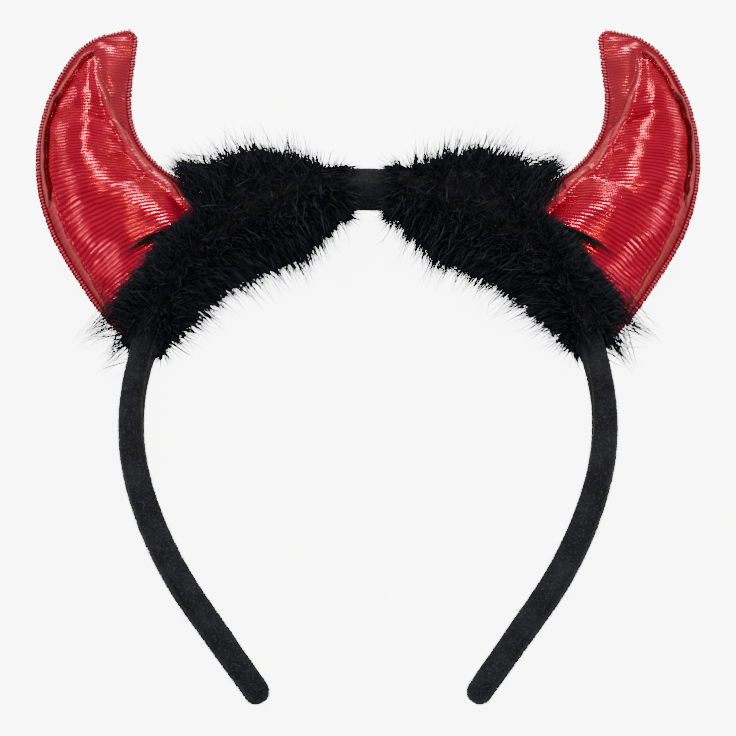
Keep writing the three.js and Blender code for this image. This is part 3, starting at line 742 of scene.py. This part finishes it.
marabou = dict(start=8.0, length=70.5, pile=13.0, wall=1.4, rootDepth=5.5,
               strands=32000, batches=2, tufts=900)
marabouPiles = (
    dict(along=0, outer=-0.08, inner=0.2, face=-0.04),
    dict(along=0.05, outer=0.2, inner=0.46, face=0.1),
    dict(along=0.1, outer=0.44, inner=0.55, face=0.16),
    dict(along=0.15, outer=0.65, inner=0.68, face=0.2),
    dict(along=0.21, outer=0.88, inner=0.82, face=0.22),
    dict(along=0.27, outer=1.04, inner=0.8, face=0.24),
    dict(along=0.34, outer=1.1, inner=0.75, face=0.24),
    dict(along=0.4, outer=0.95, inner=0.72, face=0.25),
    dict(along=0.44, outer=0.6, inner=0.69, face=0.26),
    dict(along=0.48, outer=0.38, inner=0.66, face=0.26),
    dict(along=0.53, outer=0.4, inner=0.61, face=0.26),
    dict(along=0.6, outer=0.38, inner=0.54, face=0.27),
    dict(along=0.65, outer=0.42, inner=0.49, face=0.28),
    dict(along=0.74, outer=0.34, inner=0.4, face=0.28),
    dict(along=0.83, outer=0.5, inner=0.26, face=0.26),
    dict(along=0.89, outer=0.6, inner=0.12, face=0.22),
    dict(along=0.93, outer=0.46, inner=0.04, face=0.15),
    dict(along=0.96, outer=0.24, inner=0, face=0.08),
    dict(along=1, outer=0.02, inner=0, face=0),
)
# single locks that stray from the trim: root and tip along the band and out from it, in millimetres
marabouLocks = (
    dict(rootAlong=48, rootOut=8, tipAlong=61.5, tipOut=14.8, wide=0.3, strands=40),
    dict(rootAlong=69, rootOut=8, tipAlong=80.5, tipOut=17, wide=3.0, strands=64),
    dict(rootAlong=73, rootOut=4, tipAlong=85, tipOut=9, wide=3.0, strands=64),
    dict(rootAlong=35.5, rootOut=12.5, tipAlong=38.5, tipOut=26, wide=3.0, strands=400),
    dict(rootAlong=38.5, rootOut=9, tipAlong=41, tipOut=19, wide=2.4, strands=90),
    dict(rootAlong=20, rootOut=-7, tipAlong=24.5, tipOut=-15.5, wide=2.2, strands=160),
)


def pilePoint(along, angle, sunk):
    # so far under the top of the pile; angle 0 is away from the head and a quarter turn is the front
    distance = marabou["start"] + marabou["length"] * along
    thick, wide = bandHalves(distance)
    pile = {key: marabou["pile"] * readTable(marabouPiles, "along", along, key)
            for key in ("outer", "inner", "face")}
    c, s = np.cos(angle), np.sin(angle)
    sideways = np.where(c > 0, pile["outer"], pile["inner"])
    outward = thick + marabou["wall"] + np.maximum(sideways - sunk, 0)
    front = wide + marabou["wall"] + np.maximum(pile["face"] - sunk, 0)
    squared = lambda v: np.sign(v) * np.abs(v) ** 0.8
    return besideBand(distance, outward * squared(c), front * squared(s))


# grid of cells in millimetres over the left horn; a horn less than leastHigh from the plane doesn't grow
heightMap = dict(cell=0.5, low=(-95.0, -50.0), across=160, up=210, grown=3, leastHigh=1.5)


def mapCells(points):
    # the cell of the height map that each point lies in
    index = ((points[..., :2] - np.array(heightMap["low"])) / heightMap["cell"]).astype(int)
    return index[..., 0].clip(0, heightMap["across"] - 1), index[..., 1].clip(0, heightMap["up"] - 1)


def hornHeightMap(front):
    # how far the horn's face is from the band's plane, grown a few cells past its edge
    across, up = heightMap["across"], heightMap["up"]
    cells = np.zeros((across, up))
    np.maximum.at(cells, mapCells(front), front[..., 2])
    for _ in range(heightMap["grown"]):
        padded = np.pad(cells, 1)
        shifted = [padded[i:across + i, j:up + j] for i in range(3) for j in range(3)]
        around = np.max(shifted, 0)
        cells = np.where(cells > 0, cells, around * (around > heightMap["leastHigh"]))
    return cells


def overHorn(points, cells, lift):
    # barbs that would pass through the horn lie on its face instead
    height = cells[mapCells(points)]
    least = (height + lift) * (height > 0)
    away = np.where(points[..., 2] >= 0, 1.0, -1.0)
    points[..., 2] = away * np.maximum(np.abs(points[..., 2]), least)
    return points


core = dict(sides=48, rings=60, reach=0.95, sunk=5.0, room=0.0004)  # room over the floor is in metres


def makeCore(side):
    # the backing roll, which closes what is seen between the barbs
    angles = 2 * np.pi * np.arange(core["sides"]) / core["sides"]
    alongs = np.linspace(0.0, core["reach"], core["rings"])
    points = pilePoint(alongs[:, None], angles[None], core["sunk"]).reshape(-1, 3)
    points, faces = closedSkin(points, core["rings"], core["sides"], side < 0)
    points = aboveFloor(toRow(toSide(points, side)), core["room"])
    tip = np.zeros(len(points))
    piece = makeMesh("marabou_core_" + sideName(side), points, faces, down, dict(tip=tip))
    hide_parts("marabou_" + sideName(side))


# shares of the barbs, spreads of their tufts, and in millimetres how far past the pile they end (less than 0 is
# under it), how high they lie on the horn and half how wide they are drawn; floorRoom is in metres
barbs = dict(fringe=0.31, toSides=0.24, strayFrom=0.996, crowded=0.36, gather=(0.05, 0.24),
             tuftLength=0.5, tuftSwing=0.16, tuftLean=0.03, tuftReach=0.35, swing=0.05, lean=0.012,
             within=(-8, -1.6, 0.6), thinning=1.8, longest=9, strayReach=(4, 10), shortOnHorn=0.6,
             bow=0.07, straight=0.4, onHorn=(0.2, 1.6), outlineHalf=(0.11, 0.19), pileHalf=(0.05, 0.1),
             floorRoom=(0.0002, 0.0012))


def nearestTuft(along, angle, tuftAlong, tuftAngle):
    # on the unrolled pile, where a turn is as long as 0.7 of the trim
    turnLength = 0.7 / (2 * np.pi)
    nearest = np.empty(len(along), int)
    for part in np.array_split(np.arange(len(along)), 12):
        dAngle = np.abs(angle[part, None] - tuftAngle[None])
        dAngle = np.minimum(dAngle, 2 * np.pi - dAngle) * turnLength
        nearest[part] = ((along[part, None] - tuftAlong[None]) ** 2 + dAngle ** 2).argmin(1)
    return nearest


def placeLocks(random, root, end):
    # moves the first barbs into the single locks, and gives how many they are
    first = 0
    for lock in marabouLocks:
        spread = random.normal(size=(lock["strands"], 5)) * lock["wide"] * np.array([1, 1, 1, 0.45, 0.45])
        chosen = slice(first, first + lock["strands"])
        share = random.uniform(0.6, 1.05, lock["strands"])
        reach = lambda low, high: lock[low] + (lock[high] - lock[low]) * share
        root[chosen] = besideBand(lock["rootAlong"] + spread[:, 0], lock["rootOut"] + spread[:, 1],
                                  1.5 * spread[:, 2])
        end[chosen] = besideBand(reach("rootAlong", "tipAlong") + spread[:, 3],
                                 reach("rootOut", "tipOut") + spread[:, 4], 0.6 * spread[:, 2] + 0.5)
        first += lock["strands"]
    return first


def ribbons(curve, flat, thin):
    # two four-sided faces and a pointed end along each curve of four points
    count = len(curve)
    half = flat * np.array([1.0, 0.98, 0.8])[None, :, None] * thin[:, None, None]
    edges = np.stack([curve[:, :3] - half, curve[:, :3] + half], 2).reshape(count, 6, 3)
    base = (np.arange(count) * 7)[:, None]
    quads = np.vstack([base + np.array([0, 1, 3, 2]), base + np.array([2, 3, 5, 4])])
    return np.concatenate([edges, curve[:, 3:]], 1).reshape(-1, 3), [quads, base + np.array([4, 5, 6])]


def makeBarbs(side, batch, hornMap):
    random = np.random.default_rng(100 * batch + 7 + side)
    count, tufts = marabou["strands"], marabou["tufts"]
    along = random.uniform(-0.01, 0.96, count)
    angle = random.uniform(0, 2 * np.pi, count)
    angle -= barbs["crowded"] * np.sin(2 * angle)  # closer together at the two sides that make the outline
    tuftAlong = random.uniform(-0.02, 1.0, tufts)
    tuftAngle = random.uniform(0, 2 * np.pi, tufts)
    tuftLength = random.normal(0, barbs["tuftLength"], tufts)
    tuftSwing = random.normal(0, barbs["tuftSwing"], tufts)
    tuftLean = random.normal(0, barbs["tuftLean"], tufts)
    nearest = nearestTuft(along, angle, tuftAlong, tuftAngle)
    # most barbs end within the pile, nearly a third are a fringe that thins out past it, and a few stray
    lot = random.random(count)
    fringe, stray = lot < barbs["fringe"], lot > barbs["strayFrom"]
    toSides = np.where(random.random(count) < 0.5, 0, np.pi) + random.normal(0, 0.5, count)
    angle = np.where(lot < barbs["toSides"], toSides, angle) % (2 * np.pi)
    gather = random.uniform(*barbs["gather"], count) * np.where(fringe, barbs["straight"], 1)
    toTuft = (tuftAngle[nearest] - angle + np.pi) % (2 * np.pi) - np.pi
    facing = 0.35 + 0.65 * np.abs(np.sin(angle))  # the outline is more even than the face
    tipAngle = angle + gather * toTuft + facing * tuftSwing[nearest] + random.normal(0, barbs["swing"], count)
    tipAlong = along + gather * (tuftAlong[nearest] - along) + facing * tuftLean[nearest]
    tipAlong += random.normal(0, barbs["lean"], count)
    tipAlong += 0.05 * (2 * along - 1) ** 5
    tufted = barbs["tuftReach"] * tuftLength[nearest]
    beyond = random.triangular(*barbs["within"], count) + tufted
    thinning = np.minimum(random.exponential(barbs["thinning"], count), barbs["longest"])
    beyond = np.where(fringe, thinning - 1 + tufted, beyond)
    beyond = np.where(stray, random.uniform(*barbs["strayReach"], count), beyond)
    onHorn = smoothStep(0.46, 0.52, along) * smoothStep(0.96, 0.9, along) * (np.cos(angle) > 0)
    beyond *= np.where(beyond > 0, 1 - barbs["shortOnHorn"] * onHorn, 1)
    nearEnds = np.minimum(smoothStep(-0.08, 0.08, along), smoothStep(1.0, 0.88, along))
    beyond *= 0.5 + 0.5 * nearEnds
    root = pilePoint(along, angle, marabou["rootDepth"])
    end = pilePoint(tipAlong, tipAngle, -beyond)
    inLocks = placeLocks(random, root, end)
    length = np.linalg.norm(end - root, axis=1, keepdims=True)
    bowed = np.where(fringe | (np.arange(count) < inLocks), barbs["straight"], 1)[:, None]
    middle = (root + end) / 2 + random.normal(0, barbs["bow"], (count, 3)) * length * bowed
    steps = np.linspace(0, 1, 4)[None, :, None]
    curve = (1 - steps) ** 2 * root[:, None] + steps ** 2 * end[:, None]
    curve += 2 * steps * (1 - steps) * (2 * middle - (root + end) / 2)[:, None]
    curve = overHorn(curve, hornMap, random.uniform(*barbs["onHorn"], (count, 1)))
    ahead = np.gradient(curve, axis=1)[:, :3]
    flat = unit(np.cross(ahead, random.normal(size=(count, 1, 3))))
    # a real barb is too fine to show against the bright floor, so those of the outline are drawn a pixel wide
    thin = np.where(fringe | stray, random.uniform(*barbs["outlineHalf"], count),
                    random.uniform(*barbs["pileHalf"], count))
    points, faces = ribbons(curve, flat, thin)
    room = np.repeat(random.uniform(*barbs["floorRoom"], count), 7)
    points = aboveFloor(toRow(toSide(points, side)), room)
    # the ends are painted lighter as painted light through the thin barbs, more on some barbs than on others
    tip = (np.array([0, 0, 1, 1, 4, 4, 9]) / 9 * random.triangular(0, 0.3, 1, (count, 1))).ravel()
    name = sideName(side) + "_" + str(batch)
    makeMesh("marabou_barbs_" + name, points, faces, down, dict(tip=tip))


for side, front in zip((-1, 1), hornFronts):
    makeCore(side)
    hornMap = hornHeightMap(front)
    for batch in range(marabou["batches"]):
        makeBarbs(side, batch, hornMap)
print("marabou made")

# floor, light and camera

studio = dict(floor=2.4, mottleMm=40.0, world=0.8, glow=8.0)  # the floor's side is in metres


def makeFloor():
    # a sheet of matt white board, which the camera sees as bright as one lit from below
    material, tree = newTree("matt_white_board")
    path = addNode(tree, "ShaderNodeLightPath")
    glow = addNode(tree, "ShaderNodeMath", {"operation": "MULTIPLY", 1: studio["glow"]},
                   {0: (path, "Is Camera Ray")})
    spot = addNode(tree, "ShaderNodeTexCoord")
    mottle = addNode(tree, "ShaderNodeTexNoise", {"Scale": 1000 / studio["mottleMm"], "Detail": 2.0},
                     {"Vector": (spot, "Object")})
    colour = addNode(tree, "ShaderNodeValToRGB", {}, {0: (mottle, 0)}, [(0.3, "#f6f6f5"), (0.7, "#fafafa")])
    shader = addNode(tree, "ShaderNodeBsdfPrincipled", {"Roughness": 0.8, "Specular IOR Level": 0.2}, {
        "Base Color": (colour, 0), "Emission Color": (colour, 0), "Emission Strength": (glow, 0)})
    addNode(tree, "ShaderNodeOutputMaterial", {}, {"Surface": (shader, 0)})
    half = studio["floor"] / 2
    mesh = bpy.data.meshes.new("floor")
    corners = [(-half, -half, 0), (half, -half, 0), (half, half, 0), (-half, half, 0)]
    mesh.from_pydata(corners, [], [(0, 1, 2, 3)])
    mesh.materials.append(material)
    floor = bpy.data.objects.new("floor", mesh)
    bpy.context.scene.collection.objects.link(floor)


def addLight(name, where, towards, size, watts, colour):
    data = bpy.data.lights.new(name, "AREA")
    data.shape = "RECTANGLE"
    data.size, data.size_y = size
    data.energy = watts
    data.color = linear(colour)[:3]
    light = bpy.data.objects.new(name, data)
    light.location = where
    light.rotation_euler = (Vector(towards) - Vector(where)).to_track_quat("-Z", "Y").to_euler()
    bpy.context.scene.collection.objects.link(light)


def makeStudio():
    world = bpy.data.worlds.new("studio")
    world.use_nodes = True
    world.node_tree.nodes["Background"].inputs["Color"].default_value = (1, 1, 1, 1)
    world.node_tree.nodes["Background"].inputs["Strength"].default_value = studio["world"]
    bpy.context.scene.world = world
    addLight("back_lamp", (0, 0.98, 0.5), (0, 0.04, 0), (0.09, 0.09), 7.0, "#ffffff")
    for name, way in (("left", -1), ("right", 1)):
        addLight(name + "_softbox", (0.95 * way, 0.1, 0.7), (0, 0, 0), (0.15, 0.3), 2.6, "#ffffff")
    addLight("warm_lamp", (0, 0.12, 0.85), (0, 0.02, 0), (0.06, 0.06), 2.0, "#ffb060")


def makeCamera():
    # the photograph looks 20 degrees off the band's own front, from a little way off
    view = dict(target=Vector((0, -0.00415, 0.00841)), elevation=math.radians(66.83), distance=0.8,
                lens=152.85, sensor=36.0)
    data = bpy.data.cameras.new("camera")
    data.lens = view["lens"]
    data.sensor_width = view["sensor"]
    camera = bpy.data.objects.new("camera", data)
    back = Vector((0, -math.cos(view["elevation"]), math.sin(view["elevation"])))
    camera.location = view["target"] + view["distance"] * back
    camera.rotation_euler = (-back).to_track_quat("-Z", "Y").to_euler()
    bpy.context.scene.collection.objects.link(camera)
    bpy.context.scene.camera = camera


makeFloor()
makeStudio()
makeCamera()
print("studio made")
